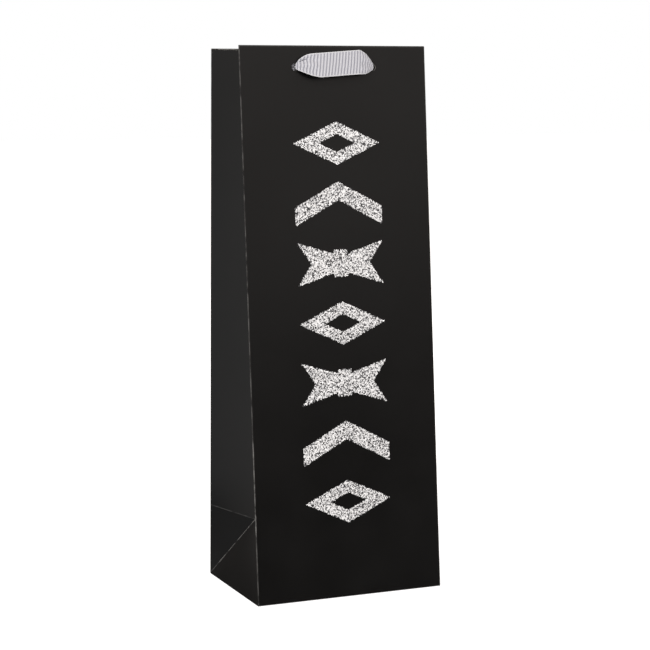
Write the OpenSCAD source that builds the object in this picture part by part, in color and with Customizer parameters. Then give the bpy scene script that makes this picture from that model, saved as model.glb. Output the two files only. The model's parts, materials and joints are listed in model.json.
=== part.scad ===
// Wine gift bag: a tall folded-paper bag with pleated sides, card-stiffened rim, base board,
// short ribbon handles knotted inside, and a column of glitter motifs on the front.
// Origin at the middle of the base on the floor, +Z up, front panel towards -Y.

/* [Bag] */
// Width of the front and back panels
bag_w = 130; // [115:1:160]
// Depth of the base, front to back
bag_d = 98; // [84:1:120]
// Length of a wall from the base crease to the rim
wall_l = 360; // [320:1:420]
// Depth of the mouth as the bag stands
mouth_d = 55; // [46:1:66]

/* [Paper and card] */
// Thickness of the laminated paper
paper_t = 0.4; // [0.3:0.05:0.5]
// Thickness of the card inside each rim
card_t = 0.6; // [0.4:0.1:0.8]
// Height of the card inside each rim
card_l = 32; // [26:1:38]
// Depth of the paper turned in at the rim
hem_l = 40; // [34:1:50]
// Thickness of the base board
board_t = 1.2; // [0.8:0.1:2]
// How far each bottom flap reaches past the middle of the base
flap_lap = 8; // [4:1:12]
// Width of the glued side seam
seam_w = 14; // [10:1:18]

/* [Handles] */
// Distance between the two holes of a handle
hole_pitch = 54; // [48:1:62]
// Distance from the rim down to the holes
hole_drop = 14; // [12:1:18]
// Diameter of a punched hole
hole_d = 5; // [4.5:0.1:6]
// Width of the ribbon
ribbon_w = 16; // [12:1:18]
// Thickness of the ribbon
ribbon_t = 0.5; // [0.4:0.1:0.6]
// How far the middle of a handle stands off its wall
ribbon_bow = 7; // [6.5:0.1:9]
// Diameter of a knot
knot_d = 6.2; // [5.4:0.2:6.4]

/* [Decoration] */
// Width of the glitter motifs
motif_w = 60; // [48:1:66]
// Height of one motif
motif_h = 28; // [22:1:30]
// Distance from one motif to the next
motif_pitch = 39; // [35:1:41]
// Height of the lowest motif's middle above the base crease
motif_first = 63; // [56:1:72]
// Width of the strokes that the motifs are drawn with
motif_stroke = 9.5; // [7:0.5:10]
// Thickness of the glitter layer
glitter_t = 0.2; // [0.1:0.05:0.3]

/* [Clearances] */
// Gap between a wall and the crease line of its side pleat
hinge_gap = 0.3; // [0.2:0.05:0.5]
// Gap left beside each fold so that neighbouring panels can turn
fold_gap = 2.2; // [1.8:0.1:3]
// Gap between a foot triangle and its creases
foot_gap = 0.6; // [0.4:0.1:1]
// Gap between the base board and the walls
board_gap = 1.6; // [1.2:0.1:2.4]
// Gap between the floor and the lower edge of a wall
floor_gap = 0.1; // [0.05:0.05:0.2]

/* [Hidden] */
wrap_share = 0.16;                                       // radius of the ribbon's turn in a knot, over the knot's
tuck_lift = 1.5;                                         // height of the foot's start over the bottom, in papers
board_end_gap = 0.8;                                     // what the board leaves at each end, over board_gap
diamond_thin = 0.85;                                     // stroke of a diamond, over motif_stroke
bow_knot_h = 0.62;                                       // height of a bow's middle, over motif_h
chevron_thick = 1.25;                                    // upright thickness of a chevron, over motif_stroke

lean = asin((bag_d - mouth_d) / 2 / wall_l);             // how far each wall leans in
half_d = bag_d / 2;
crease_y = paper_t + hinge_gap;                          // crease line of a pleat, behind the wall's outer face
pleat_w = half_d / cos(lean) - crease_y;                 // width of half a pleat
foot_lean = acos((1 - sin(lean)) / cos(lean));           // how far the foot triangles lean in
foot_m = [-bag_w / 2 + half_d * sin(foot_lean), 0, half_d * cos(foot_lean)];
pleat_steps = 14;                                        // stations below the turned-in paper, and again along it
hem_inset = 9.5;                                         // from a corner to the card and turned-in paper
hem_y = paper_t + card_t;                                // start of the turned-in paper
inner_y = hem_y + paper_t;                               // inner face of the rim
hole_z = wall_l - hole_drop;
flap_l = half_d + flap_lap;
ribbon_tip_y = 1.2;                                      // the handle's turning axis, in front of the wall
tail_l = 13;                                             // ribbon left over below a knot
paper_black = [0.09, 0.09, 0.09];
board_grey = [0.62, 0.6, 0.57];
ribbon_silver = [0.72, 0.72, 0.76];
glitter_silver = [0.8, 0.8, 0.82];

// ---- frames: a wall is drawn flat, x across, y inwards from its outer face, z up from the base crease ----
module on_front_wall() translate([0, -half_d, 0]) rotate([-lean, 0, 0]) children();
module on_back_wall() on_back() on_front_wall() children();
module on_back() mirror([0, 1, 0]) children();
module on_left() children();
module on_right() mirror([1, 0, 0]) children();

// ---- front and back walls ----
module handle_holes() {
    for (side = [-1, 1])
        translate([side * hole_pitch / 2, -1, hole_z]) rotate([-90, 0, 0]) cylinder(h = 12, d = hole_d, $fn = 48);
}

module wall_panel() {
    color(paper_black) difference() {
        translate([-bag_w / 2, 0, floor_gap]) cube([bag_w, paper_t, wall_l - floor_gap]);
        handle_holes();
    }
}

// A strip along the inside of the rim, between two distances down from it
module rim_strip(start_y, thick, top_drop, low_drop)
    translate([-bag_w / 2 + hem_inset, start_y, wall_l - low_drop])
        cube([bag_w - 2 * hem_inset, thick, low_drop - top_drop]);

module rim_card() {
    color(board_grey) difference() {
        rim_strip(paper_t, card_t, paper_t, card_l);
        handle_holes();
    }
}

// The paper folds over the card's top edge and is glued down behind it
module rim_hem() {
    color(paper_black) difference() {
        union() {
            rim_strip(hem_y, paper_t, 0, hem_l);
            rim_strip(paper_t, card_t, 0, paper_t);
        }
        handle_holes();
    }
}

module seam_lap() {
    from_corner = 4;
    color(paper_black)
        translate([bag_w / 2 - from_corner - seam_w, paper_t, half_d])
            cube([seam_w, paper_t, wall_l - hem_l - fold_gap - half_d]);
}

// A ribbon end: through the hole, a flattened overhand knot and its short tail
module ribbon_knot() {
    stub_d = hole_d - 1.2;
    wrap_r = knot_d * wrap_share;
    color(ribbon_silver) {
        rotate([-90, 0, 0]) translate([0, 0, 0.2]) cylinder(h = inner_y + knot_d / 2, d = stub_d, $fn = 32);
        translate([0, inner_y + knot_d / 2, 0]) {
            sphere(d = knot_d, $fn = 40);
            rotate([90, 0, 0]) rotate_extrude($fn = 48) translate([knot_d / 2 - wrap_r / 2, 0]) circle(r = wrap_r, $fn = 24);
        }
        translate([-ribbon_w / 4, inner_y + knot_d / 2, -tail_l - knot_d / 3]) cube([ribbon_w / 2, ribbon_t, tail_l]);
    }
}

module knots() {
    for (side = [-1, 1]) translate([side * hole_pitch / 2, 0, hole_z]) ribbon_knot();
}

// ---- side pleats ----
// Distance from the crease line to the bag's middle plane, at height z up the wall
function to_middle(z) = (half_d - z * sin(lean)) / cos(lean) - crease_y;
function pleat_turn(z) = acos(min(1, to_middle(z) / pleat_w));
// A point across the left front pleat: l from the corner crease, off towards the bag's inside, z up the wall
function pleat_point(l, off, z) =
    let (a = pleat_turn(z))
    [-bag_w / 2 + paper_t + l * sin(a) + off * cos(a), crease_y + l * cos(a) - off * sin(a), z];

function stations(z0, z1, first = 0) = [for (i = [first : pleat_steps]) z0 + (z1 - z0) * i / pleat_steps];

// Half a pleat is a strip that turns further in towards the rim, where the mouth is narrower
module pleat_strip(l0, l1, off0, off1, rings) {
    count = len(rings) - 1;
    corners = [for (z = rings) each [pleat_point(l0, off0, z), pleat_point(l1, off0, z),
                                     pleat_point(l1, off1, z), pleat_point(l0, off1, z)]];
    // Both broad faces are split along the same diagonal, so that they stay one thickness apart
    sides = [for (i = [0 : count - 1], k = [0 : 3])
                let (a = 4 * i + k, b = 4 * i + (k + 1) % 4)
                each (k < 2 ? [[a, b + 4, b], [a, a + 4, b + 4]] : [[a, a + 4, b], [b, a + 4, b + 4]])];
    top = 4 * count;
    ends = [[0, 1, 2], [0, 2, 3], [top, top + 2, top + 1], [top, top + 3, top + 2]];
    polyhedron(points = corners, faces = concat(sides, ends));
}

module half_pleat() {
    below_hem = stations(half_d + fold_gap, wall_l - hem_l);
    along_hem = stations(wall_l - hem_l, wall_l, 1);
    color(paper_black)
        pleat_strip(hinge_gap, pleat_w - fold_gap, -paper_t, 0, concat(below_hem, along_hem));
}

module half_pleat_hem() {
    glue_t = 0.1;
    color(paper_black)
        pleat_strip(hem_inset, pleat_w - 2 * fold_gap, glue_t, glue_t + paper_t, stations(wall_l - hem_l, wall_l));
}

// ---- feet: the triangles that the pleats fold into above the base ----
function toward(a, b, d) = a + (b - a) / norm(b - a) * d;
// A corner of a triangle moved in so that both edges beside it move in by gap
function inset_corner(p, q, r, gap) =
    let (u = (q - p) / norm(q - p), v = (r - p) / norm(r - p), half = acos(u * v) / 2)
    p + (u + v) / norm(u + v) * gap / sin(half);

module triangle_plate(p, q, r, gap, thick) {
    n = cross(q - p, r - p) / norm(cross(q - p, r - p)) * thick;
    low = [inset_corner(p, q, r, gap), inset_corner(q, r, p, gap), inset_corner(r, p, q, gap)];
    polyhedron(points = concat(low, [for (c = low) c + n]),
               faces = [[0, 1, 2], [5, 4, 3], [0, 3, 4], [0, 4, 1], [1, 4, 5], [1, 5, 2], [2, 5, 3], [2, 3, 0]]);
}

module foot_plate() {
    edge_x = -bag_w / 2;
    lift = paper_t * tuck_lift;
    color(paper_black)
        triangle_plate([edge_x, -half_d, lift], [edge_x, half_d, lift], foot_m + [0, 0, lift], foot_gap, paper_t);
}

// The narrow triangle between the foot and the front wall
module foot_fold() {
    wall_dir = [0, sin(lean), cos(lean)];
    corner = [-bag_w / 2 + paper_t, -half_d + crease_y, paper_t];
    color(paper_black) triangle_plate(corner, corner + wall_dir * half_d, foot_m, fold_gap, paper_t);
}

// ---- base ----
module flap_outline(from_y, to_y) {
    edge = crease_y;
    polygon([for (p = [[-1, from_y], [1, from_y], [1, to_y], [-1, to_y]])
                [p[0] * (bag_w / 2 - edge - (p[1] + half_d)), p[1]]]);
}

module front_flap() {
    color(paper_black) linear_extrude(paper_t) flap_outline(-half_d + crease_y, flap_lap);
}

// The back flap steps up over the front one where the two are glued
module back_flap() {
    step_y = -flap_lap - hinge_gap;
    color(paper_black) mirror([0, 1, 0]) union() {
        linear_extrude(paper_t) flap_outline(-half_d + crease_y, step_y);
        linear_extrude(2 * paper_t) flap_outline(step_y - paper_t, step_y);
        translate([0, 0, paper_t]) linear_extrude(paper_t) flap_outline(step_y - paper_t, flap_lap);
    }
}

module bottom_tuck() {
    side_gap = 1.6;
    color(paper_black)
        translate([-bag_w / 2 + side_gap, -half_d + crease_y + side_gap / 2, 2 * paper_t])
            cube([flap_l - side_gap, bag_d - 2 * crease_y - side_gap, paper_t]);
}

module base_board() {
    end_gap = board_gap + board_end_gap;
    corner_r = 3;
    color(board_grey) translate([0, 0, 3 * paper_t]) linear_extrude(board_t)
        offset(corner_r, $fn = 32) square([bag_w - 2 * (end_gap + corner_r), bag_d - 2 * (board_gap + corner_r)], center = true);
}

// ---- handle: a short ribbon bowed between its two holes, gathered at both ends ----
function bow_y(x) = -ribbon_tip_y - (ribbon_bow - ribbon_tip_y) * (1 - pow(abs(x) / (hole_pitch / 2), 4));

module handle() {
    steps = 28;
    half = hole_pitch / 2;
    tip = 1.5;
    spread = 10;
    xs = [for (i = [0 : steps]) -half + hole_pitch * i / steps];
    color(ribbon_silver) translate([0, 0, hole_z]) intersection() {
        translate([0, 0, -ribbon_w / 2]) linear_extrude(ribbon_w)
            polygon(concat([for (x = xs) [x, bow_y(x) - ribbon_t / 2]],
                           [for (i = [steps : -1 : 0]) [xs[i], bow_y(xs[i]) + ribbon_t / 2]]));
        rotate([90, 0, 0]) linear_extrude(2 * ribbon_bow)
            polygon([[-half, -tip], [-half + spread, -ribbon_w / 2], [half - spread, -ribbon_w / 2], [half, -tip],
                     [half, tip], [half - spread, ribbon_w / 2], [-half + spread, ribbon_w / 2], [-half, tip]]);
    }
}

// ---- decoration: diamonds, bows and chevrons in glitter ----
module diamond_outline(w, h) polygon([[-w / 2, 0], [0, -h / 2], [w / 2, 0], [0, h / 2]]);

module diamond_motif() {
    inner = 1 - 2 * motif_stroke / motif_h * diamond_thin;
    difference() {
        diamond_outline(motif_w, motif_h);
        diamond_outline(motif_w * inner, motif_h * inner);
    }
}

module bow_motif() {
    knot = motif_stroke;
    for (side = [-1, 1]) scale([side, 1])
        polygon([[0, -knot / 2], [motif_w / 2, -motif_h / 2], [motif_w / 2 - motif_stroke, 0], [motif_w / 2, motif_h / 2], [0, knot / 2]]);
    square([knot, motif_h * bow_knot_h], center = true);
}

module chevron_motif() {
    rise = motif_h - motif_stroke * chevron_thick;
    polygon([[-motif_w / 2, -motif_h / 2], [0, -motif_h / 2 + rise], [motif_w / 2, -motif_h / 2],
             [motif_w / 2, motif_h / 2 - rise], [0, motif_h / 2], [-motif_w / 2, motif_h / 2 - rise]]);
}

module glitter_motifs() {
    order = ["diamond", "chevron", "bow", "diamond", "bow", "chevron", "diamond"];
    color(glitter_silver)
        for (i = [0 : len(order) - 1])
            translate([0, 0, motif_first + motif_pitch * i]) rotate([90, 0, 0]) linear_extrude(glitter_t) {
                if (order[i] == "diamond") diamond_motif();
                if (order[i] == "chevron") chevron_motif();
                if (order[i] == "bow") bow_motif();
            }
}

on_front_wall() wall_panel();  // front_panel
on_front_wall() rim_card();  // front_card
on_front_wall() rim_hem();  // front_hem
on_front_wall() knots();  // front_knots
on_front_wall() glitter_motifs();
on_back_wall() wall_panel();  // back_panel
on_back_wall() rim_card();  // back_card
on_back_wall() rim_hem();  // back_hem
on_back_wall() knots();  // back_knots
on_back_wall() seam_lap();  // side_seam_lap
on_left() on_front_wall() half_pleat();  // left_front_pleat
on_left() on_back_wall() half_pleat();  // left_back_pleat
on_right() on_front_wall() half_pleat();  // right_front_pleat
on_right() on_back_wall() half_pleat();  // right_back_pleat
on_left() on_front_wall() half_pleat_hem();  // left_front_pleat_hem
on_left() on_back_wall() half_pleat_hem();  // left_back_pleat_hem
on_right() on_front_wall() half_pleat_hem();  // right_front_pleat_hem
on_right() on_back_wall() half_pleat_hem();  // right_back_pleat_hem
on_left() foot_plate();  // left_foot
on_right() foot_plate();  // right_foot
on_left() foot_fold();  // left_front_foot_fold
on_left() on_back() foot_fold();  // left_back_foot_fold
on_right() foot_fold();  // right_front_foot_fold
on_right() on_back() foot_fold();  // right_back_foot_fold
front_flap();  // front_bottom_flap
back_flap();  // back_bottom_flap
on_left() bottom_tuck();  // left_bottom_tuck
on_right() bottom_tuck();  // right_bottom_tuck
base_board();
on_front_wall() handle();  // front_handle
on_back_wall() handle();  // back_handle
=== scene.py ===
import json
from math import atan2, cos, pi, radians, sin

import bmesh
import bpy
import numpy as np
from mathutils import Matrix, Vector


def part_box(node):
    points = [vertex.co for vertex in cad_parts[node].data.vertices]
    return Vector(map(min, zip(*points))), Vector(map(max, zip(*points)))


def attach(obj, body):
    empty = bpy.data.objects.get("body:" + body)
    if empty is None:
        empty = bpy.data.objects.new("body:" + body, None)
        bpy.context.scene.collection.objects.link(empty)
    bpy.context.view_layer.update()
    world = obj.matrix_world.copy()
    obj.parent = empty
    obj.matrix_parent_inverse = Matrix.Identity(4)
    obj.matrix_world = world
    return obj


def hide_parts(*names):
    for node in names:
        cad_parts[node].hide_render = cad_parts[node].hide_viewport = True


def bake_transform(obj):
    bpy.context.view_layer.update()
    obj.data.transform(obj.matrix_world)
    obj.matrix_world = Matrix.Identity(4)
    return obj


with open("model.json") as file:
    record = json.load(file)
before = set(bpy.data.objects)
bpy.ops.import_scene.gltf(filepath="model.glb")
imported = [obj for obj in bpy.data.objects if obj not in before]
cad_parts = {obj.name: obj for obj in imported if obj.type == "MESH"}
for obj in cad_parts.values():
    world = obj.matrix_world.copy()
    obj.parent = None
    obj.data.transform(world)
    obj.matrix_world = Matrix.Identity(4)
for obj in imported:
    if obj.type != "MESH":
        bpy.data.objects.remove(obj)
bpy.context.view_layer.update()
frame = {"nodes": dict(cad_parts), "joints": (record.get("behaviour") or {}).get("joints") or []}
mm = 0.001
print("frame loaded")

paperThick = 0.4 * mm
frontLow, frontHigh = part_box("front_panel")
halfWidth = -frontLow.x
jointPlace = {joint["name"]: joint["pos_m"] for joint in frame["joints"]}
halfDepth = -jointPlace["front_wall_turn"][1]
lean = atan2(frontHigh.y + halfDepth - paperThick, frontHigh.z)  # how far each wall leans in
wallLength = frontHigh.z / cos(lean)
swing = jointPlace["front_handle_swing"]
holeUp = swing[2] * cos(lean) + (swing[1] + halfDepth) * sin(lean)  # up the wall to the ribbon's holes


cameraView = dict(
    turn=-22.029, above=6.262, roll=-0.611,  # degrees
    distance=1.2273, aim=(0.00323, 0.0, 0.17439),
    lens=100.983, sensor=36,
)


def makeCamera(view):
    # the camera stands on a sphere about its aim, turned round it and raised, then rolled a little
    turn, above, roll = (radians(view[k]) for k in ("turn", "above", "roll"))
    back = Vector((sin(turn) * cos(above), -cos(turn) * cos(above), sin(above)))
    right = Vector((0, 0, 1)).cross(back).normalized()
    up = back.cross(right)
    rolledRight = right * cos(roll) + up * sin(roll)
    rolledUp = up * cos(roll) - right * sin(roll)
    data = bpy.data.cameras.new("studio_camera")
    data.lens = view["lens"]
    data.sensor_width = view["sensor"]
    camera = bpy.data.objects.new("studio_camera", data)
    bpy.context.scene.collection.objects.link(camera)
    place = Vector(view["aim"]) + back * view["distance"]
    axes = Matrix((rolledRight, rolledUp, back)).transposed()
    camera.matrix_world = Matrix.Translation(place) @ axes.to_4x4()
    bpy.context.scene.camera = camera


studio = dict(
    floorColor=(0.92, 0.92, 0.92), floorSize=80.0, floorGlow=0.6, floorDrop=0.3 * mm, backdrop=1.0,
    # the room the paper mirrors: dark low down, brighter and a little warm above the horizon
    skyLow=0.02, skyHigh=0.76, skyWarm=(0.93, 0.88), horizon=(0.475, 0.585),
    skyBehind=0.3, behindFrom=0.2, behindTo=0.9,
    keyPower=16.0, keySize=0.5, keyPlace=(-0.9, -1.3, 1.5),
    sidePower=6.0, sideSize=2.2, sidePlace=(-1.5, -0.2, -0.1),
    backPower=7.0, backSize=2.4, backPlace=(1.1, 1.9, 0.1),
    topPower=10.0, topSize=1.4, topPlace=(0.2, 0.3, 1.9),
)


def areaLight(name, power, size, place, aim=(0, 0, 0.18)):
    # a square soft light that looks at the middle of the bag
    data = bpy.data.lights.new(name, "AREA")
    data.energy = power
    data.size = size
    lamp = bpy.data.objects.new(name, data)
    bpy.context.scene.collection.objects.link(lamp)
    lamp.location = place
    lamp.rotation_euler = (Vector(aim) - Vector(place)).to_track_quat("-Z", "Y").to_euler()
    return lamp


def makeStudio(s):
    # the camera sees a plain white room; everything else is lit by a ramp over height, dimmer behind the bag
    world = bpy.data.worlds.new("studio")
    bpy.context.scene.world = world
    world.use_nodes = True
    tree = world.node_tree
    tree.nodes.clear()
    out = tree.nodes.new("ShaderNodeOutputWorld")
    mix = tree.nodes.new("ShaderNodeMixShader")
    seen = tree.nodes.new("ShaderNodeBackground")
    seen.inputs["Color"].default_value = (1, 1, 1, 1)
    seen.inputs["Strength"].default_value = s["backdrop"]
    lit = tree.nodes.new("ShaderNodeBackground")
    ramp = tree.nodes.new("ShaderNodeValToRGB")
    ramp.color_ramp.interpolation = "EASE"
    low, high = ramp.color_ramp.elements
    low.position, high.position = s["horizon"]
    low.color = (s["skyLow"],) * 3 + (1,)
    high.color = (s["skyHigh"], s["skyHigh"] * s["skyWarm"][0], s["skyHigh"] * s["skyWarm"][1], 1)
    coords = tree.nodes.new("ShaderNodeTexCoord")
    split = tree.nodes.new("ShaderNodeSeparateXYZ")
    height = tree.nodes.new("ShaderNodeMath")  # from -1..1 to 0..1
    height.operation = "MULTIPLY_ADD"
    height.inputs[1].default_value = 0.5
    height.inputs[2].default_value = 0.5
    path = tree.nodes.new("ShaderNodeLightPath")
    link = tree.links.new
    link(coords.outputs["Generated"], split.inputs[0])
    link(split.outputs["Z"], height.inputs[0])
    link(height.outputs[0], ramp.inputs["Fac"])
    link(ramp.outputs["Color"], lit.inputs["Color"])
    behind = tree.nodes.new("ShaderNodeMapRange")
    behind.inputs["From Min"].default_value = s["behindFrom"]
    behind.inputs["From Max"].default_value = s["behindTo"]
    behind.inputs["To Min"].default_value = 1.0
    behind.inputs["To Max"].default_value = s["skyBehind"]
    link(split.outputs["Y"], behind.inputs["Value"])
    link(behind.outputs["Result"], lit.inputs["Strength"])
    link(path.outputs["Is Camera Ray"], mix.inputs["Fac"])
    link(lit.outputs[0], mix.inputs[1])
    link(seen.outputs[0], mix.inputs[2])
    link(mix.outputs[0], out.inputs["Surface"])
    for word in ("key", "side", "back", "top"):
        areaLight(word + "_light", s[word + "Power"], s[word + "Size"], s[word + "Place"])

    half, low = s["floorSize"] / 2, -s["floorDrop"]
    corners = [(-half, -half, low), (half, -half, low), (half, half, low), (-half, half, low)]
    mesh = bpy.data.meshes.new("floor")
    mesh.from_pydata(corners, [], [(0, 1, 2, 3)])
    floor = bpy.data.objects.new("floor", mesh)
    bpy.context.scene.collection.objects.link(floor)
    material = bpy.data.materials.new("pale_floor")
    material.use_nodes = True
    shader = material.node_tree.nodes["Principled BSDF"]
    shader.inputs["Base Color"].default_value = (*s["floorColor"], 1)
    shader.inputs["Roughness"].default_value = 0.9
    shader.inputs["Specular IOR Level"].default_value = 0.1
    shader.inputs["Emission Color"].default_value = (1, 1, 1, 1)
    shader.inputs["Emission Strength"].default_value = s["floorGlow"]
    floor.data.materials.append(material)
    floor.visible_glossy = False  # the dark paper mirrors the room, not the floor
    bpy.context.scene.view_settings.view_transform = "Standard"


makeCamera(cameraView)
makeStudio(studio)
print("camera, lights and floor made")


def meshObject(name, points, faces, slots=None, shades=35, uv=None, marks=None):
    # points is an n by 3 array, faces an m by 4 one; uv and marks hold one row a point
    mesh = bpy.data.meshes.new(name)
    mesh.from_pydata(points.tolist(), [], faces.tolist())
    if slots is not None:
        mesh.polygons.foreach_set("material_index", slots.astype(np.int32))
    if uv is not None:
        corner = np.zeros(len(mesh.loops), np.int32)
        mesh.loops.foreach_get("vertex_index", corner)
        layer = mesh.uv_layers.new(name="cut")
        layer.data.foreach_set("uv", uv[corner].astype(np.float32).ravel())
    for key, values in (marks or {}).items():
        attribute = mesh.attributes.new(key, "FLOAT", "POINT")
        attribute.data.foreach_set("value", values.astype(np.float32))
    mesh.update()
    made = bpy.data.objects.new(name, mesh)
    bpy.context.scene.collection.objects.link(made)
    tidyMesh(made, shades)
    return made


def tidyMesh(piece, shades):
    # merges doubled points, drops empty faces and turns every face outwards; shades is the angle past which
    # an edge stays sharp
    work = bmesh.new()
    work.from_mesh(piece.data)
    bmesh.ops.delete(work, geom=[v for v in work.verts if not v.link_faces], context="VERTS")
    bmesh.ops.remove_doubles(work, verts=work.verts, dist=2e-6)
    bmesh.ops.dissolve_degenerate(work, edges=work.edges, dist=1e-6)
    bmesh.ops.recalc_face_normals(work, faces=work.faces)
    work.to_mesh(piece.data)
    work.free()
    if shades is None:
        piece.data.shade_flat()
    else:
        piece.data.shade_smooth()
        piece.data.set_sharp_from_angle(angle=radians(shades))


def slabFaces(rows, cols, keep=None):
    # faces of a closed sheet: an outer grid, an inner one behind it, and a strip of cut edge round every open
    # side; keep is true for each cell of the grid that is there
    keep = np.ones((rows - 1, cols - 1), bool) if keep is None else keep
    index = np.arange(rows * cols).reshape(rows, cols)
    corner = np.stack([index[:-1, :-1], index[:-1, 1:], index[1:, 1:], index[1:, :-1]], -1)
    far = rows * cols
    quads = corner[keep]
    around = np.pad(keep, 1)
    edges = []
    for down, right, a, b in ((-1, 0, 0, 1), (0, 1, 1, 2), (1, 0, 2, 3), (0, -1, 3, 0)):
        beside = around[1 + down:rows + down, 1 + right:cols + right]
        bare = corner[keep & ~beside]
        edges.append(np.stack([bare[:, b], bare[:, a], bare[:, a] + far, bare[:, b] + far], -1))
    edge = np.concatenate(edges)
    slots = np.concatenate([np.zeros(len(quads)), np.ones(len(quads)), np.full(len(edge), 2)])
    return np.concatenate([quads, quads[:, ::-1] + far, edge]), slots


def slabFrom(name, outer, inner, uv, marks=None, shades=35, keep=None):
    # a closed sheet from two grids of points, its outer face and its inner one
    faces, slots = slabFaces(*outer.shape[:2], keep)
    points = np.concatenate([outer.reshape(-1, 3), inner.reshape(-1, 3)])
    twice = {k: np.tile(v.ravel(), 2) for k, v in (marks or {}).items()}
    return meshObject(name, points, faces, slots, shades, np.tile(uv.reshape(-1, 2), (2, 1)), twice)


def unit(v):
    # each vector divided by its length
    return v / np.linalg.norm(v, axis=-1, keepdims=True)


def spaced(low, high, step, fine=()):
    # even steps from low to high, with extra stations where a fold needs them
    count = max(2, int(round((high - low) / step)) + 1)
    values = np.concatenate([np.linspace(low, high, count), [f for f in fine if low <= f <= high]])
    return np.unique(np.round(values, 7))


def finishPiece(piece, body, nodes, materials):
    # gives a piece its materials and its body, and hides the CAD nodes that it stands for
    for material in materials:
        piece.data.materials.append(material)
    if body:
        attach(piece, body)
    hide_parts(*nodes)
    return piece


def newMaterial(name):
    # a material with its node tree and its Principled shader
    material = bpy.data.materials.new(name)
    material.use_nodes = True
    tree = material.node_tree
    return material, tree, tree.nodes["Principled BSDF"]


def addNode(tree, kind, **values):
    # a node with settings by name, each a property or an input
    node = tree.nodes.new(kind)
    for key, value in values.items():
        if hasattr(node, key):
            setattr(node, key, value)
        else:
            node.inputs[key].default_value = value
    return node


def noise(tree, scale, detail=3.0, rough=0.5, source="Object", stretch=None):
    # fractal noise of so many cells a metre, stretched differently along each axis where stretch says so
    coords = addNode(tree, "ShaderNodeTexCoord")
    place = coords.outputs[source]
    if stretch:
        mapping = addNode(tree, "ShaderNodeMapping")
        mapping.inputs["Scale"].default_value = stretch
        tree.links.new(place, mapping.inputs["Vector"])
        place = mapping.outputs["Vector"]
    texture = addNode(tree, "ShaderNodeTexNoise", Scale=scale, Detail=detail, Roughness=rough)
    tree.links.new(place, texture.inputs["Vector"])
    return texture.outputs["Fac"]


def ramp(tree, source, stops):
    # colours at positions from 0 to 1, blended between
    node = addNode(tree, "ShaderNodeValToRGB")
    elements = node.color_ramp.elements
    while len(elements) < len(stops):
        elements.new(0.5)
    for element, (position, color) in zip(elements, stops):
        element.position = position
        element.color = (*color, 1) if len(color) == 3 else color
    tree.links.new(source, node.inputs["Fac"])
    return node.outputs["Color"]


def calc(tree, operation, a, b=None, c=None, clamp=False):
    # one step of arithmetic on numbers or sockets
    node = addNode(tree, "ShaderNodeMath", operation=operation, use_clamp=clamp)
    for socket, value in zip(node.inputs, (a, b, c)):
        if value is None:
            continue
        if isinstance(value, (int, float)):
            socket.default_value = value
        else:
            tree.links.new(value, socket)
    return node.outputs[0]


def mixColor(tree, factor, a, b):
    # a times one minus the factor, plus b times the factor
    node = addNode(tree, "ShaderNodeMix", data_type="RGBA")
    for socket, value in ((node.inputs[0], factor), (node.inputs[6], a), (node.inputs[7], b)):
        if isinstance(value, tuple):
            socket.default_value = (*value, 1)
        elif isinstance(value, (int, float)):
            socket.default_value = value
        else:
            tree.links.new(value, socket)
    return node.outputs[2]


def bump(tree, shader, height, distance, strength=1.0):
    # fine relief on the shader's normal, distance deep
    node = addNode(tree, "ShaderNodeBump", Distance=distance, Strength=strength)
    tree.links.new(height, node.inputs["Height"])
    tree.links.new(node.outputs["Normal"], shader.inputs["Normal"])


laminate = dict(
    black=(0.0009, 0.0008, 0.0008), scuff=(0.0026, 0.0024, 0.0024), cloud=9,
    rough=0.34, roughSpread=0.12, mottle=40, gloss=0.5,
    bare=(0.5, 0.49, 0.47), rubAndHighlight=0.32,  # the paper's own colour on a rubbed fold, also laid on the side folds as a painted highlight, and the width of that rubbed and highlighted band in mm
    patch=160, patchCut=0.36, patchGain=4.0,
    grain=900, grainDepth=0.02 * mm, grainStrength=0.35,
)


def laminateMaterial(look):
    # film over black ink, rubbed through to pale paper in broken patches along the folds; on the side folds
    # the same pale colour is
    # also a painted highlight: a rub is one less the distance over the rub's width, times how worn and
    # highlighted that fold is, times the patches
    material, tree, shader = newMaterial("black_laminate")
    wearAndHighlight = addNode(tree, "ShaderNodeAttribute", attribute_name="wearAndHighlight").outputs["Fac"]
    fold = addNode(tree, "ShaderNodeAttribute", attribute_name="foldMm").outputs["Fac"]
    near = calc(tree, "SUBTRACT", 1.0, calc(tree, "DIVIDE", fold, look["rubAndHighlight"]), clamp=True)
    patchy = calc(tree, "SUBTRACT", noise(tree, look["patch"], 4, 0.6), look["patchCut"], clamp=True)
    broken = calc(tree, "MULTIPLY", patchy, look["patchGain"], clamp=True)
    # the rub mask: real wear on the creases, and painted highlight along the side folds
    rubAndHighlight = calc(tree, "MULTIPLY", calc(tree, "MULTIPLY", near, wearAndHighlight), broken, clamp=True)
    cloud = ramp(tree, noise(tree, look["cloud"], 4), [(0.35, look["black"]), (0.75, look["scuff"])])
    tree.links.new(mixColor(tree, rubAndHighlight, cloud, look["bare"]), shader.inputs["Base Color"])
    shader.inputs["Specular IOR Level"].default_value = look["gloss"]
    spread = look["roughSpread"]
    roughness = calc(tree, "MULTIPLY_ADD", noise(tree, look["mottle"], 5), spread, look["rough"] - spread / 2)
    tree.links.new(roughness, shader.inputs["Roughness"])
    bump(tree, shader, noise(tree, look["grain"], 2, 0.5), look["grainDepth"], look["grainStrength"])
    return material


def plainPaperMaterial():
    # warm white fibres, matt
    material, tree, shader = newMaterial("uncoated_paper")
    fibre = noise(tree, 700, 5, 0.7)
    color = ramp(tree, fibre, [(0.3, (0.66, 0.64, 0.6)), (0.7, (0.8, 0.785, 0.75))])
    tree.links.new(color, shader.inputs["Base Color"])
    shader.inputs["Roughness"].default_value = 0.92
    shader.inputs["Specular IOR Level"].default_value = 0.25
    bump(tree, shader, noise(tree, 1500, 3, 0.6), 0.04 * mm, 0.5)
    return material


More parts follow.
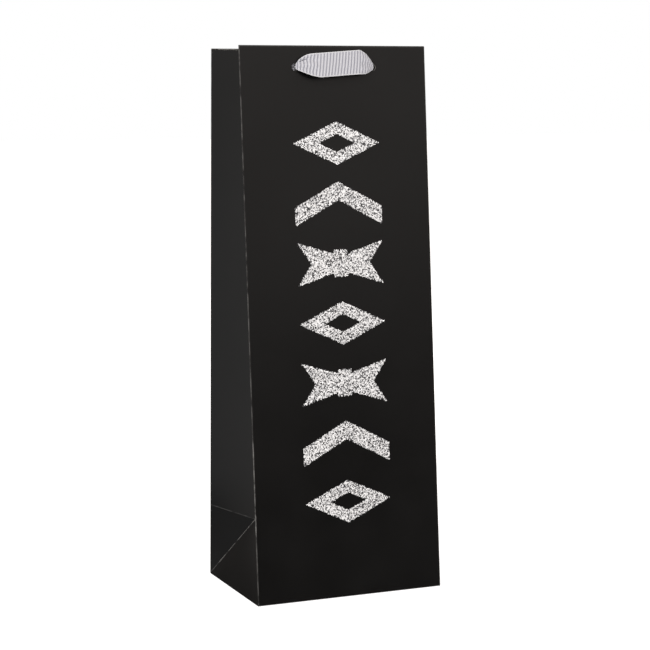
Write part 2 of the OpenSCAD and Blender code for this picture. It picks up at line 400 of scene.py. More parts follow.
def cutEdgeMaterial():
    # the inked edge of the sheet, dark with fibres showing
    material, tree, shader = newMaterial("paper_cut_edge")
    color = ramp(tree, noise(tree, 500, 3), [(0.3, (0.012, 0.011, 0.011)), (0.7, (0.05, 0.048, 0.046))])
    tree.links.new(color, shader.inputs["Base Color"])
    shader.inputs["Roughness"].default_value = 0.85
    return material


def greyCardMaterial():
    # recycled board: grey with darker flecks
    material, tree, shader = newMaterial("grey_card")
    greys = [(0.38, (0.16, 0.15, 0.14)), (0.46, (0.36, 0.345, 0.32)), (0.68, (0.44, 0.42, 0.39))]
    flecks = ramp(tree, noise(tree, 420, 6, 0.75), greys)
    tree.links.new(flecks, shader.inputs["Base Color"])
    shader.inputs["Roughness"].default_value = 0.93
    shader.inputs["Specular IOR Level"].default_value = 0.2
    bump(tree, shader, noise(tree, 900, 4, 0.7), 0.06 * mm, 0.6)
    return material


blackPaper = laminateMaterial(laminate)
whitePaper = plainPaperMaterial()
cutEdge = cutEdgeMaterial()
greyCard = greyCardMaterial()
paperFaces = [blackPaper, whitePaper, cutEdge]
print("paper and card materials made")


wall = dict(
    step=4 * mm, foldSteps=5, rimRadius=0.7 * mm, bulge=0.9 * mm, bulgeTop=310 * mm,
    # the side folds' pale line is rubbed wear plus a painted highlight
    foldWearAndHighlight=0.13, rimWear=0.04,
    # painted highlight on the side folds, strongest between these heights, fading in and out over the two
    # last lengths
    lowFoldHighlight=0.17, lowFrom=44 * mm, lowTo=112 * mm, fadeIn=6 * mm, fadeOut=12 * mm,
)


def toRow(x, inset, up, side):
    # from a wall's own frame, flat and upright, to the bag's: the wall leans in and stands at the front or
    # the back
    y = inset * cos(lean) + up * sin(lean) - halfDepth
    z = up * cos(lean) - inset * sin(lean)
    return np.stack(np.broadcast_arrays(x, side * y, z), -1)


def wallBulge(x, up):
    # the walls swell a little between the foot and the rim: the square of a sine up the wall, times a cosine
    # across it to the power 1.5
    high = np.clip(up / wall["bulgeTop"], 0, 1)
    return -wall["bulge"] * np.sin(pi * high) ** 2 * np.cos(pi * x / (2 * halfWidth)) ** 1.5


def pleatTurn(up):
    # the angle between a half pleat and the depth direction, by the half mouth's share of the pleat's width
    toMiddle = (halfDepth - up * sin(lean)) / cos(lean)
    return np.arccos(np.clip(toMiddle / halfDepth, -1, 1))


hole = dict(radius=2.5 * mm, apart=27 * mm, fine=0.55 * mm)


def holeLines(middle):
    # extra grid lines across a ribbon hole
    return list(middle + np.arange(-6, 7) * hole["fine"])


def punchHoles(x, up):
    # leaves out the cells inside each round hole and draws the hole's ragged edge out to its circle
    keep = np.ones((x.shape[0] - 1, x.shape[1] - 1), bool)
    for middle in (-hole["apart"], hole["apart"]):
        away = np.hypot(x - middle, up - holeUp)
        cell = (away[:-1, :-1] + away[:-1, 1:] + away[1:, 1:] + away[1:, :-1]) / 4
        gone = cell < hole["radius"]
        keep &= ~gone
        padded = np.pad(gone, 1)
        near = np.stack([padded[:-1, :-1], padded[:-1, 1:], padded[1:, 1:], padded[1:, :-1]])
        onEdge = near.any(0) & ~near.all(0)
        stretch = np.where(onEdge, hole["radius"] / np.maximum(away, 1e-6), 1)
        x = middle + (x - middle) * stretch
        up = holeUp + (up - holeUp) * stretch
    return x, up, keep


def wallPanel(name, side, body, nodes):
    # a wall's sheet with its folds: outer is the core line plus a radius along a direction that turns about
    # the foot, the rim and the side folds
    edge = halfWidth - paperThick
    lowest, highest = paperThick, wallLength - wall["rimRadius"]
    creaseLines = [halfDepth + k * mm for k in (-0.6, 0, 0.6)]
    endLines = [lowest + 1 * mm, highest - 1 * mm]
    ups = spaced(lowest, highest, wall["step"], [*endLines, *creaseLines, *holeLines(holeUp)])
    arc = np.linspace(0, pi / 2, wall["foldSteps"] + 1)[1:]
    # path up the wall: a quarter turn under the foot, the flat wall, a quarter turn over the rim
    up = np.concatenate([np.full(len(arc), lowest), ups, np.full(len(arc), highest)])
    turn = np.concatenate([-arc[::-1], np.zeros(len(ups)), arc])
    radius = np.concatenate([np.full(len(arc) + len(ups), paperThick), np.full(len(arc), wall["rimRadius"])])
    inner = np.concatenate([np.zeros(len(arc) + len(ups)), np.full(len(arc), wall["rimRadius"] - paperThick)])
    # across the wall: flat, with a turn round each side fold until it lies along the pleat
    sideLines = [-edge + 1 * mm, edge - 1 * mm, -edge + 2 * mm, edge - 2 * mm]
    bothHoles = [*holeLines(-hole["apart"]), *holeLines(hole["apart"])]
    xs = spaced(-edge, edge, wall["step"], [*sideLines, *bothHoles])
    share = np.linspace(0, 1, wall["foldSteps"] + 1)[1:]
    x = np.concatenate([np.full(len(share), -edge), xs, np.full(len(share), edge)])
    bend = np.concatenate([-share[::-1], np.zeros(len(xs)), share])
    foldEnd = pi / 2 + pleatTurn(np.maximum(up, halfDepth))
    phi = bend[None, :] * foldEnd[:, None]
    grid = np.broadcast_arrays(x, up[:, None])
    flatX, upAll, keep = punchHoles(*grid)
    swell = wallBulge(flatX, upAll)
    out = radius[:, None] - inner[:, None]
    # outward direction in the wall's frame, turned about the foot or rim first and then about the side fold
    baseInset, baseUp = -np.cos(turn)[:, None], np.sin(turn)[:, None]
    dirX, dirIn, dirUp = np.sin(phi), baseInset * np.cos(phi), baseUp * np.cos(phi)
    coreInset = radius[:, None] + inner[:, None] * baseInset + swell
    coreUp = upAll + inner[:, None] * baseUp
    outer = toRow(flatX + out * dirX, coreInset + out * dirIn, coreUp + out * dirUp, side)
    within = toRow(flatX, coreInset + 0 * phi, coreUp + 0 * phi, side)
    across = flatX + np.sign(bend)[None, :] * np.abs(phi) * paperThick
    uv = np.stack([across, upAll], -1)
    toSide = np.maximum(0, edge - np.abs(flatX)) / mm
    toRim = np.maximum(0, highest - upAll) / mm
    toFoot = np.maximum(0, upAll - lowest) / mm
    nearest = np.minimum(np.minimum(toSide, toRim), toFoot)
    # painted highlight along the side folds, in its band of heights, on top of their wear
    highlightZone = np.clip((upAll - wall["lowFrom"]) / wall["fadeIn"], 0, 1)
    highlightZone = highlightZone * np.clip((wall["lowTo"] - upAll) / wall["fadeOut"], 0, 1)
    sideWearAndHighlight = wall["foldWearAndHighlight"] + wall["lowFoldHighlight"] * highlightZone
    wearAndHighlight = np.where(toSide <= np.minimum(toRim, toFoot), sideWearAndHighlight, wall["rimWear"])
    piece = slabFrom(name, outer, within, uv, dict(foldMm=nearest, wearAndHighlight=wearAndHighlight), keep=keep)
    return finishPiece(piece, body, nodes, paperFaces)


wallPanel("front_panel_paper", 1, "front_wall", ["front_panel"])
wallPanel("back_panel_paper", -1, "back_wall", ["back_panel"])
print("walls made")


pleat = dict(
    step=4 * mm, across=14, ripple=0.9 * mm,
    foldWearAndHighlight=0.1, creaseWear=0.55, crossWear=0.13,
    footSwell=0.5 * mm, footWear=0.1,
)
sin45 = 0.707


def pleatEnds(up):
    # the wall's side edge and the centre crease at distance up the wall, for the left front quarter
    edge = np.stack([np.full_like(up, -halfWidth), up * sin(lean) - halfDepth, up * cos(lean)], -1)
    half = -edge[:, 1]
    drop = half * np.tan(lean)
    inward = np.sqrt(np.maximum(0, halfDepth ** 2 - half ** 2 - drop ** 2))
    crease = np.stack([-halfWidth + inward, np.zeros_like(up), edge[:, 2] - drop], -1)
    return edge, crease


def outwardOf(reach):
    # square to the wall's edge and to the reach across the pleat, pointing out of the bag
    outwards = unit(np.cross(np.array([0.0, sin(lean), cos(lean)]), unit(reach)))
    return np.where(outwards[:, :1] > 0, -outwards, outwards)


def quarterWords(hand, side):
    return ("left" if hand < 0 else "right") + ("_front" if side > 0 else "_back")


def blendToWall(piece):
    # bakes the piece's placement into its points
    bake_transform(piece)


def quarterSheet(name, hand, side):
    # the left front quarter of the pleated side, mirrored by hand (left -1, right 1) and side (front 1, back
    # -1): rows run up the wall's edge, and each row goes straight to the foot's diagonal below the crossing
    # crease and to the centre crease above it
    creaseLines = [halfDepth + k * mm for k in (-1.5, -0.7, 0, 0.7, 1.5)]
    ups = spaced(1.2 * mm, wallLength - 0.6 * mm, pleat["step"], creaseLines)
    edge, crease = pleatEnds(ups)
    meeting = pleatEnds(np.array([halfDepth]))[1][0]
    corner = np.array([-halfWidth, -halfDepth, 0.0])
    low = np.clip(ups / halfDepth, 0, 1)[:, None]
    far = np.where(ups[:, None] <= halfDepth, corner + low * (meeting - corner), crease)
    share = np.unique(np.concatenate([np.linspace(0, 1, pleat["across"] + 1), [0.015, 0.03, 0.97, 0.985]]))
    reach = far - edge
    outwards = outwardOf(reach)
    start = edge + np.array([paperThick, 0, 0]) + np.array([0, paperThick, 0]) + outwards * paperThick
    line = start[:, None] + share[None, :, None] * (far - start)[:, None]
    high = np.clip((ups - halfDepth) / (wallLength - halfDepth), 0, 1)
    swell = -pleat["ripple"] * np.sin(pi * share)[None, :] * np.sin(pi * high ** 0.8)[:, None]
    outer = line + swell[..., None] * outwards[:, None]
    within = outer - paperThick * outwards[:, None]
    length = np.linalg.norm(reach, axis=1)[:, None]
    flatAcross = share[None, :] * length
    uv = np.stack([flatAcross, np.broadcast_to(ups[:, None], flatAcross.shape)], -1)
    toWall = flatAcross / mm
    toFar = (length - flatAcross) / mm * np.where(ups[:, None] <= halfDepth, sin45, 1)
    toCrossing = np.abs(ups - halfDepth)[:, None] / mm + 0 * flatAcross
    nearest = np.minimum(np.minimum(toWall, toFar), toCrossing)
    wearAndHighlight = np.where(toFar <= toCrossing, pleat["creaseWear"], pleat["crossWear"])
    # the fold along the wall's edge: rubbed wear with a little painted highlight
    wearAndHighlight = np.where(toWall <= np.minimum(toFar, toCrossing), pleat["foldWearAndHighlight"], wearAndHighlight)
    mirror = np.array([-hand, side, 1.0])
    piece = slabFrom(name, outer * mirror, within * mirror, uv, dict(foldMm=nearest, wearAndHighlight=wearAndHighlight), shades=25)
    words = quarterWords(hand, side)
    finishPiece(piece, None, [words + "_pleat", words + "_foot_fold"], paperFaces)
    blendToWall(piece)
    return piece


def quarterHem(name, hand, side):
    # the paper turned in along the pleat's rim, against its inner face
    depth, gap = 40 * mm, 0.05 * mm
    ups = spaced(wallLength - depth, wallLength - 0.5 * mm, pleat["step"])
    edge, crease = pleatEnds(ups)
    reach = crease - edge
    outwards = outwardOf(reach)
    start = edge + np.array([paperThick, paperThick, 0]) + outwards * paperThick
    share = np.linspace(0.09, 0.975, pleat["across"] + 1)
    line = start[:, None] + share[None, :, None] * (crease - start)[:, None]
    high = (ups - halfDepth) / (wallLength - halfDepth)
    swell = -pleat["ripple"] * np.sin(pi * share)[None, :] * np.sin(pi * high ** 0.8)[:, None]
    line = line + (swell[..., None] - paperThick - gap) * outwards[:, None]
    under = line - paperThick * outwards[:, None]
    across = share[None, :] * np.linalg.norm(reach, axis=1)[:, None]
    uv = np.stack([across, np.broadcast_to(ups[:, None], across.shape)], -1)
    marks = dict(foldMm=np.full(across.shape, 9.0), wearAndHighlight=np.zeros(across.shape))
    mirror = np.array([-hand, side, 1.0])
    piece = slabFrom(name, under * mirror, line * mirror, uv, marks)
    words = quarterWords(hand, side)
    finishPiece(piece, None, [words + "_pleat_hem"], paperFaces)
    blendToWall(piece)
    return piece


def footTriangle(name, hand):
    # the big triangle that leans in from the base's side edge to the meeting point of the creases: its half
    # width falls evenly to nothing as it rises, and it swells by one minus share squared, times a sine
    meeting = pleatEnds(np.array([halfDepth]))[1][0]
    lowLine = np.array([-halfWidth, 0.0, 0.0])
    rise = np.unique(np.concatenate([np.linspace(0, 1, 13), [0.02, 0.96, 0.99]]))[:-1]
    share = np.unique(np.concatenate([np.linspace(-1, 1, 25), [-0.98, 0.98, -0.96, 0.96]]))
    half = halfDepth * (1 - rise)
    base = lowLine + rise[:, None] * (meeting - lowLine)
    line = base[:, None] + share[None, :, None] * half[:, None, None] * np.array([0, 1.0, 0])
    outwards = unit(np.array([-meeting[2], 0.0, halfWidth + meeting[0]]))
    swell = pleat["footSwell"] * (1 - share[None, :] ** 2) * np.sin(pi * rise)[:, None]
    outer = line + swell[..., None] * outwards
    within = outer - paperThick * outwards
    flat = np.stack([share[None, :] * half[:, None], rise[:, None] * halfDepth + 0 * share[None, :]], -1)
    toDiagonal = (half[:, None] * (1 - np.abs(share[None, :]))) * sin45 / mm
    toBase = flat[..., 1] / mm + 0.3
    wearAndHighlight = np.where(toDiagonal <= toBase, pleat["creaseWear"], pleat["footWear"])
    marks = dict(foldMm=np.minimum(toDiagonal, toBase), wearAndHighlight=wearAndHighlight)
    mirror = np.array([-hand, 1.0, 1.0])
    piece = slabFrom(name, outer * mirror, within * mirror, flat, marks)
    word = "left" if hand < 0 else "right"
    return finishPiece(piece, "base", [word + "_foot"], paperFaces)


for hand, handWord in ((-1, "left"), (1, "right")):
    for side, sideWord in ((1, "front"), (-1, "back")):
        quarterSheet(f"{handWord}_{sideWord}_pleat_paper", hand, side)
        quarterHem(f"{handWord}_{sideWord}_pleat_hem_paper", hand, side)
    footTriangle(f"{handWord}_foot_paper", hand)
print("pleats and feet made")


rim = dict(hemDepth=40 * mm, hemEnd=3.5 * mm, flapWear=0.4)


def wallHem(name, side, body, nodes):
    # the paper turned over the card: a quarter turn down from the rim's top, then flat down the inside
    edge = halfWidth - rim["hemEnd"]
    arc = np.linspace(0, pi / 2, wall["foldSteps"] + 1)
    radius = wall["rimRadius"]
    flatTop = wallLength - radius
    downs = spaced(0, rim["hemDepth"] - radius, 4 * mm, [flatTop - line for line in holeLines(holeUp)])[1:]
    turn = np.concatenate([arc, np.full(len(downs), pi / 2)])
    dropped = np.concatenate([np.zeros(len(arc)), downs])
    xs = spaced(-edge, edge, wall["step"], [*holeLines(-hole["apart"]), *holeLines(hole["apart"])])
    grid = np.broadcast_arrays(xs[None, :], (flatTop - dropped)[:, None])
    x, flatUp, keep = punchHoles(*grid)
    shorter = radius - paperThick
    outer = toRow(x, radius + radius * np.sin(turn)[:, None], flatUp + radius * np.cos(turn)[:, None], side)
    under = toRow(x, radius + shorter * np.sin(turn)[:, None], flatUp + shorter * np.cos(turn)[:, None], side)
    uv = np.stack([x, flatUp], -1)
    marks = dict(foldMm=np.full(uv.shape[:2], 9.0), wearAndHighlight=np.zeros(uv.shape[:2]))
    piece = slabFrom(name, outer, under, uv, marks, keep=keep)
    return finishPiece(piece, body, nodes, paperFaces)


def seamLap(name):
    # the glued lap down the inside of the back wall's right edge
    low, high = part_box("side_seam_lap")
    lowUp = halfDepth
    highUp = high.z / cos(lean)
    xs = spaced(low.x, high.x, 3 * mm)
    ups = spaced(lowUp, highUp, wall["step"])
    swell = wallBulge(xs[None, :], ups[:, None])
    inside = toRow(xs[None, :], 2 * paperThick + swell, ups[:, None], -1)
    glued = toRow(xs[None, :], paperThick + swell, ups[:, None], -1)
    uv = np.stack(np.broadcast_arrays(xs[None, :], ups[:, None]), -1)
    piece = slabFrom(name, inside, glued, uv)
    lapFaces = [whitePaper, whitePaper, cutEdge]
    return finishPiece(piece, "back_wall", ["side_seam_lap"], lapFaces)


def bottomFlap(name, side, nodes, over):
    # a flap narrows at 45 degrees from the wall's foot to just past the middle; the back one steps up over
    # the front one by a smooth step, three u squared less two u cubed
    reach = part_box("front_bottom_flap")[1].y
    start = halfDepth - paperThick
    run = 1 * mm
    ys = spaced(-start, reach, 2.5 * mm, [-reach - run, -reach - 0.3 * mm])
    half = halfWidth - paperThick - (ys + start)
    share = np.linspace(-1, 1, 31)
    rise = np.clip((ys + reach + run) / run, 0, 1)
    lift = over * rise * rise * (3 - 2 * rise)
    x = share[None, :] * half[:, None]
    y = np.broadcast_to(side * ys[:, None], x.shape)
    base = np.stack([x, y, np.broadcast_to(lift[:, None], x.shape)], -1)
    uv = np.stack([x, np.broadcast_to(ys[:, None], x.shape)], -1)
    toFold = np.broadcast_to((ys[:, None] + start) / mm, x.shape)
    marks = dict(foldMm=toFold, wearAndHighlight=np.full(x.shape, rim["flapWear"]))
    piece = slabFrom(name, base, base + np.array([0, 0, paperThick]), uv, marks)
    return finishPiece(piece, "base", nodes, paperFaces)


wallHem("front_hem_paper", 1, "front_wall", ["front_hem"])
wallHem("back_hem_paper", -1, "back_wall", ["back_hem"])
seamLap("side_seam_lap_paper")
bottomFlap("front_bottom_flap_paper", 1, ["front_bottom_flap"], 0)
bottomFlap("back_bottom_flap_paper", -1, ["back_bottom_flap"], paperThick)
print("rim, seam and bottom flaps made")


ribbon = dict(
    width=15.6 * mm, thick=0.42 * mm, tip=1.2 * mm, bow=7 * mm, tilt=0.075, lift=1.6 * mm,
    ribs=2.15 * mm, ribDepth=0.13 * mm, ribSlant=1.1 * mm, selvedge=0.6 * mm,
    pleats=2, pleatPlace=0.42, pleatDepth=0.6 * mm, curl=0.5 * mm, tipHalf=1.3 * mm, calm=4 * mm,
    pocket=1.5 * mm, pocketPlace=(-22.5 * mm, 0.6), pocketSize=(2.6 * mm, 0.1),
    # where each corner of the band starts to gather, in mm, and how round its shoulder is
    shoulders=dict(
        topLeft=(17.5, 2.0, 1.6), lowLeft=(11.5, 1.35, 1.1),
        topRight=(15.5, 1.5, 1.2), lowRight=(20.0, 1.3, 1.15),
    ),
)


def gather(x, corner):
    # 1 along the band, falling to the pinched tip: one minus u to the power p, all to the power 1 over q
    start, p, q = ribbon["shoulders"][corner]
    u = np.clip((np.abs(x) / mm - start) / (hole["apart"] / mm - start), 0, 1)
    return (1 - u ** p) ** (1 / q)


def ribbonMaterial():
    # grosgrain: a cosine of painted shade for each rib, lighter on its crest and darker between ribs, fine
    # threads over it, and a paler woven edge
    material, tree, shader = newMaterial("grosgrain_ribbon")
    coords = addNode(tree, "ShaderNodeUVMap", uv_map="cut").outputs["UV"]
    split = addNode(tree, "ShaderNodeSeparateXYZ")
    tree.links.new(coords, split.inputs[0])
    along = calc(tree, "MULTIPLY", split.outputs["X"], 2 * pi / ribbon["ribs"])
    # painted shade: the rib troughs darker, the crests lighter
    wave = calc(tree, "MULTIPLY_ADD", calc(tree, "COSINE", along), 0.5, 0.5)
    threads = noise(tree, 1.0, 2, 0.5, "UV", (1400, 9000, 1))
    shade = calc(tree, "MULTIPLY_ADD", threads, 0.35, wave)
    greys = [(0.1, (0.20, 0.20, 0.235)), (0.55, (0.36, 0.36, 0.40)), (1.0, (0.50, 0.50, 0.53))]
    color = ramp(tree, shade, greys)
    edge = calc(tree, "ABSOLUTE", split.outputs["Y"])
    selvedge = calc(tree, "GREATER_THAN", edge, ribbon["width"] / 2 - ribbon["selvedge"])
    tree.links.new(mixColor(tree, selvedge, color, (0.52, 0.52, 0.54)), shader.inputs["Base Color"])
    shader.inputs["Roughness"].default_value = 0.48
    shader.inputs["Sheen Weight"].default_value = 0.2
    shader.inputs["Sheen Roughness"].default_value = 0.4
    fine = addNode(tree, "ShaderNodeTexWave", wave_type="BANDS", bands_direction="Y", Scale=500.0)
    tree.links.new(coords, fine.inputs["Vector"])
    bump(tree, shader, fine.outputs["Fac"], 0.03 * mm, 0.6)
    return material


ribbonCloth = ribbonMaterial()


def ribbonSheet(name, side, body, nodes):
    # x runs from hole to hole; the band stands off the wall by a quartic bow, and its spare width folds into
    # pleats, a cosine across the band
    half = hole["apart"]
    x = np.linspace(-half, half, 301)
    share = np.linspace(-1, 1, 41)
    away = ribbon["tip"] + (ribbon["bow"] - ribbon["tip"]) * (1 - (x / half) ** 4)
    slope = np.gradient(away, x)
    along = np.concatenate([[0], np.cumsum(np.sqrt(1 + slope[1:] ** 2) * np.diff(x))])
    full = ribbon["width"] / 2
    topGather = np.where(x < 0, gather(x, "topLeft"), gather(x, "topRight"))
    lowGather = np.where(x < 0, gather(x, "lowLeft"), gather(x, "lowRight"))
    middle = ribbon["lift"] + ribbon["tilt"] * x
    top = ribbon["tipHalf"] + (full + middle - ribbon["tipHalf"]) * topGather
    low = -ribbon["tipHalf"] - (full - middle - ribbon["tipHalf"]) * lowGather
    tall = top - low
    folds = ribbon["pleats"]
    deep = tall / (4 * folds) * np.sqrt(np.maximum(0, (ribbon["width"] / tall) ** 2 - 1))
    deep = np.minimum(deep, ribbon["pleatDepth"]) * np.clip((np.abs(x) / mm - 10) / 6, 0, 1)
    place = np.where(x < 0, ribbon["pleatPlace"], -0.1)
    up = low[:, None] + (share[None, :] + 1) / 2 * tall[:, None]
    wave = np.cos(2 * pi * folds / 2 * (share[None, :] - place[:, None]))
    # folds and curl die out towards the tips, which stay clear of the wall as the band swings
    calm = np.clip((half - np.abs(x)) / ribbon["calm"], 0, 1)
    deep = deep * calm
    curl = ribbon["curl"] * share[None, :] ** 2 * calm[:, None]
    slant = ribbon["ribSlant"] * share[None, :] * np.cos(pi * x / (2 * half))[:, None]
    # a small pocket folded in under the top edge where the band gathers into its left hole
    (pocketX, pocketShare), (pocketLong, pocketTall) = ribbon["pocketPlace"], ribbon["pocketSize"]
    pocket = np.exp(-((share[None, :] - pocketShare) / pocketTall) ** 2)
    pocket = pocket * np.exp(-((x[:, None] - pocketX) / pocketLong) ** 2)
    off = away[:, None] - deep[:, None] * wave - curl - ribbon["pocket"] * pocket
    ribPhase = 2 * pi * (along[:, None] - slant) / ribbon["ribs"]
    flatEnds = np.clip((1 - np.abs(share[None, :])) / 0.08, 0, 1)
    off = off + ribbon["ribDepth"] * 0.5 * np.cos(ribPhase) * flatEnds
    sheet = np.stack([np.broadcast_to(x[:, None], up.shape), off, up], -1)
    across, upward = np.gradient(sheet, axis=0), np.gradient(sheet, axis=1)
    normal = unit(np.cross(upward, across))
    normal = np.where(normal[..., 1:2] < 0, -normal, normal)
    front, back = sheet + normal * ribbon["thick"] / 2, sheet - normal * ribbon["thick"] / 2
    rows = [toRow(s[..., 0], -s[..., 1], holeUp + s[..., 2], side) for s in (front, back)]
    uv = np.stack([along[:, None] - slant, share[None, :] * full + 0 * up], -1)
    piece = slabFrom(name, rows[0], rows[1], uv, shades=60)
    finishPiece(piece, body, nodes, [ribbonCloth] * 3)
    return piece, along[-1]


def tubeAlong(path, radius, lobes, sides=20, closed=True):
    # a soft lobed tube carried along a path of points: the radius times one plus 0.13 of a cosine round it
    ahead = np.roll(path, -1, 0) - np.roll(path, 1, 0) if closed else np.gradient(path, axis=0)
    tangent = unit(ahead)
    acrossWay = unit(np.cross(tangent, np.array([0, 1.0, 0.02])))
    inWay = np.cross(acrossWay, tangent)
    angle = np.linspace(0, 2 * pi, sides + 1)[:-1]
    size = radius[:, None] * (1 + 0.13 * np.cos(lobes * angle)[None, :])
    ring = (path[:, None] + size[..., None] * (np.cos(angle)[None, :, None] * acrossWay[:, None] * 1.25
            + np.sin(angle)[None, :, None] * inWay[:, None] * 0.85))
    count, index = len(path), np.arange(len(path) * sides).reshape(len(path), sides)
    nextRow = np.roll(index, -1, 0) if closed else index[1:]
    thisRow = index if closed else index[:-1]
    faces = np.stack([thisRow, np.roll(thisRow, -1, 1), np.roll(nextRow, -1, 1), nextRow], -1).reshape(-1, 4)
    runs, girth = (np.arange(count) * 0.5 * mm)[:, None], (angle / pi - 1)[None, :] * 5 * mm
    uv = np.stack(np.broadcast_arrays(runs, girth), -1)
    if not closed:  # each end is closed by quads laid across its ring
        i = np.arange(sides // 2 - 1)
        across = np.stack([i, i + 1, sides - 2 - i, sides - 1 - i], -1)
        faces = np.concatenate([faces, across[:, ::-1], across + (count - 1) * sides])
    return ring.reshape(-1, 3), faces, uv.reshape(-1, 2)


knot = dict(
    size=0.92 * mm, strand=1.05 * mm, stub=1.0 * mm, depth=1.2 * mm, inset=4.5 * mm, nearer=1.0 * mm,
    tail=13 * mm, tailWidth=11 * mm, tailThick=0.4 * mm,
    tailDrop=2.2 * mm, tailBelly=1.6 * mm, tailCurl=1.1 * mm,
)


def tailStrip(hand):
    # the cut end below the knot: it opens from the knot's width to a soft curl, a cosine across it on half a
    # sine down it, and is cut on the slant
    down = np.linspace(0, 1, 25)
    share = np.linspace(-1, 1, 17)
    wide = knot["tailWidth"] / 2 * (0.16 + 0.84 * np.clip(down * 1.7, 0, 1) ** 0.8)
    length = knot["tail"] * (1 + 0.12 * hand * share)
    x = wide[:, None] * share[None, :] * 0.8
    up = -knot["tailDrop"] - down[:, None] * length[None, :]
    inset = knot["inset"] + knot["tailBelly"] * np.sin(pi * down)[:, None]
    inset = inset + knot["tailCurl"] * np.cos(pi * share)[None, :] * (0.3 + 0.7 * down[:, None])
    return np.stack([x, inset, up], -1)


def knotPair(name, side, body, nodes):
    # an overhand knot behind each hole: a trefoil of gathered ribbon, its stub through the hole and its tail
    turn = np.linspace(0, 2 * pi, 121)[:-1]
    loop = np.stack([knot["size"] * (np.sin(turn) + 2 * np.sin(2 * turn)),
                     knot["inset"] - knot["depth"] * np.sin(3 * turn),
                     knot["size"] * (np.cos(turn) - 2 * np.cos(2 * turn))], -1) * np.array([0.8, 1, 0.8])
    inside = np.linspace(0, 1, 13)
    stubInset = -ribbon["tip"] - 0.3 * mm + (knot["inset"] + ribbon["tip"]) * inside
    stub = np.stack([0 * inside, 0 * inside, stubInset], -1)  # made lying down, then its last two axes swap
    parts, start = [], 0
    for hand in (-1, 1):
        strip = tailStrip(hand)
        rows, cols = strip.shape[:2]
        normal = unit(np.cross(np.gradient(strip, axis=1), np.gradient(strip, axis=0)))
        skin = normal * knot["tailThick"] / 2
        both = np.concatenate([(strip + skin).reshape(-1, 3), (strip - skin).reshape(-1, 3)])
        flatWide = np.linspace(-1, 1, cols)[None, :] * 7.6 * mm
        flat = np.stack(np.broadcast_arrays(-strip[..., 2], flatWide), -1).reshape(-1, 2)
        tail = (both, slabFaces(rows, cols)[0], np.tile(flat, (2, 1)))
        loops = tubeAlong(loop, np.full(len(loop), knot["strand"]), 5)
        neck = tubeAlong(stub, np.full(len(stub), knot["stub"]), 5, closed=False)
        neck = (neck[0][:, [0, 2, 1]], neck[1], neck[2])
        middle = hand * (hole["apart"] - knot["nearer"])
        for points, faces, uv in (loops, neck, tail):
            placed = toRow(points[:, 0] + middle, points[:, 1], holeUp + points[:, 2], side)
            parts.append((placed, faces + start, uv))
            start += len(points)
    points, faces, uv = (np.concatenate([part[k] for part in parts]) for k in range(3))
    piece = meshObject(name, points, faces, shades=60, uv=uv)
    return finishPiece(piece, body, nodes, [ribbonCloth])


for side, word in ((1, "front"), (-1, "back")):
    band, bandLength = ribbonSheet(word + "_handle_ribbon", side, word + "_handle", [word + "_handle"])
    ends = knotPair(word + "_knots_ribbon", side, word + "_wall", [word + "_knots"])
print("ribbon handles and knots made")


glitter = dict(
    # flake greys from near black to white: painted shade and painted glints
    greys=[(0.0, (0.02, 0.02, 0.022)), (0.3, (0.1, 0.1, 0.105)),
           (0.5, (0.7, 0.7, 0.71)), (1.0, (1.0, 1.0, 1.0))],
    order=["diamond", "chevron", "bow", "diamond", "bow", "chevron", "diamond"],
    height=28 * mm, stroke=9.5 * mm, diamondThin=0.85, chevronThick=1.25, bowKnot=0.62,
    cell=0.62 * mm, jitter=0.34, rise=0.2 * mm, rough=0.22 * mm, sink=0.05 * mm, seed=7,
)


def insideShape(kind, x, z, w, h):
    # true where a point lies in the motif of half width w and half height h: a diamond is a band of x over w
    # plus z over h, a chevron a band below a line that falls from the middle, a bow two wings and a knot
    s = glitter["stroke"]
    if kind == "diamond":
        inner = 1 - glitter["diamondThin"] * s / h
        reach = np.abs(x) / w + np.abs(z) / h
        return (reach < 1) & (reach > inner)
    if kind == "chevron":
        tall = glitter["chevronThick"] * s
        top = h - (2 * h - tall) * np.abs(x) / w
        return (z < top) & (z > top - tall)
    along = np.abs(x) / w
    wing = (np.abs(z) < s / 2 + (h - s / 2) * along) & (np.abs(x) < w - s * (1 - np.abs(z) / h))
    return wing | ((np.abs(x) < s / 2) & (np.abs(z) < glitter["bowKnot"] * h))


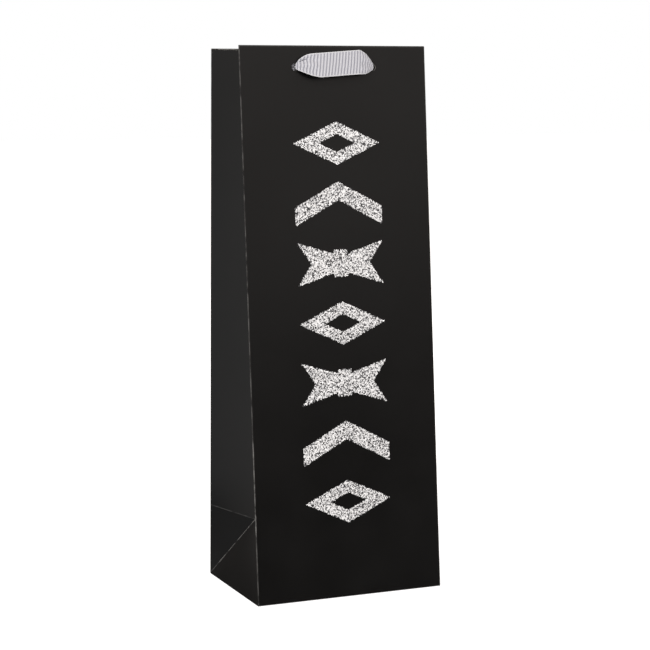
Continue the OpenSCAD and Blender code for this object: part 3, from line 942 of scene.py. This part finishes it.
def glitterMotifs(name):
    # each motif is a grid of small cells with their corners pushed about at random and raised by a random
    # amount, so that every flake faces its own way; grain gives each flake its own grey, from painted shade
    # to a painted glint
    low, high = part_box("glitter_motifs")
    w, h = (high.x - low.x) / 2, glitter["height"] / 2
    lowUp, highUp = low.z / cos(lean) + h, high.z / cos(lean) - h
    draw = np.random.default_rng(glitter["seed"])
    g, push = glitter["cell"], glitter["jitter"]
    across, tall = int(2 * w / g) + 3, int(2 * h / g) + 3
    allPoints, allFaces, allGrain, start = [], [], [], 0
    for kind, middle in zip(glitter["order"], np.linspace(lowUp, highUp, len(glitter["order"]))):
        x = (np.arange(across) - (across - 1) / 2)[None, :] * g
        z = (np.arange(tall) - (tall - 1) / 2)[:, None] * g
        x = x + draw.uniform(-push, push, (tall, across)) * g
        z = z + draw.uniform(-push, push, (tall, across)) * g
        lift = glitter["rise"] + draw.uniform(-0.5, 0.5, (tall, across)) * glitter["rough"]
        midX, midZ = (a[:-1, :-1] + a[1:, 1:] for a in (x, z))
        keep = insideShape(kind, midX / 2, midZ / 2, w, h)
        # cells that meet only at a corner get a third between them, so no edge has four faces
        falling = keep[:-1, :-1] & keep[1:, 1:] & ~keep[:-1, 1:] & ~keep[1:, :-1]
        keep[:-1, 1:] |= falling
        rising = keep[:-1, 1:] & keep[1:, :-1] & ~keep[:-1, :-1] & ~keep[1:, 1:]
        keep[:-1, :-1] |= rising
        bulge = wallBulge(x, middle + z)
        top = toRow(x, bulge - lift, middle + z, 1).reshape(-1, 3)
        under = toRow(x, bulge + glitter["sink"], middle + z, 1).reshape(-1, 3)
        faces = slabFaces(tall, across, keep)[0] + start
        points = np.concatenate([top, under])
        allPoints.append(points)
        allFaces.append(faces)
        allGrain.append(draw.uniform(0, 1, len(faces)))
        start += len(points)
    points, faces, grain = np.concatenate(allPoints), np.concatenate(allFaces), np.concatenate(allGrain)
    used, faces = np.unique(faces, return_inverse=True)
    mesh = bpy.data.meshes.new(name)
    mesh.from_pydata(points[used].tolist(), [], faces.reshape(-1, 4).tolist())
    attribute = mesh.attributes.new("grain", "FLOAT", "FACE")
    attribute.data.foreach_set("value", grain.astype(np.float32))
    mesh.update()
    piece = bpy.data.objects.new(name, mesh)
    bpy.context.scene.collection.objects.link(piece)
    mesh.shade_flat()
    return finishPiece(piece, "front_wall", ["glitter_motifs"], [glitterMaterial()])


def glitterMaterial():
    # each flake's grey comes from its grain: painted shade on the dark ones, standing for flakes turned away,
    # and painted glints on the white ones
    material, tree, shader = newMaterial("silver_glitter")
    grain = addNode(tree, "ShaderNodeAttribute", attribute_name="grain").outputs["Fac"]
    color = ramp(tree, grain, glitter["greys"])
    tree.links.new(color, shader.inputs["Base Color"])
    shader.inputs["Metallic"].default_value = 0.3
    shader.inputs["Roughness"].default_value = 0.34
    return material


glitterMotifs("glitter_motifs_flakes")
print("glitter made")


slotOf = {"base_board": greyCard, "front_card": greyCard, "back_card": greyCard, "side_seam_lap": whitePaper}
for name, node in frame["nodes"].items():
    node.data.materials.clear()
    node.data.materials.append(slotOf.get(name, blackPaper))
print("carried-over pieces finished")
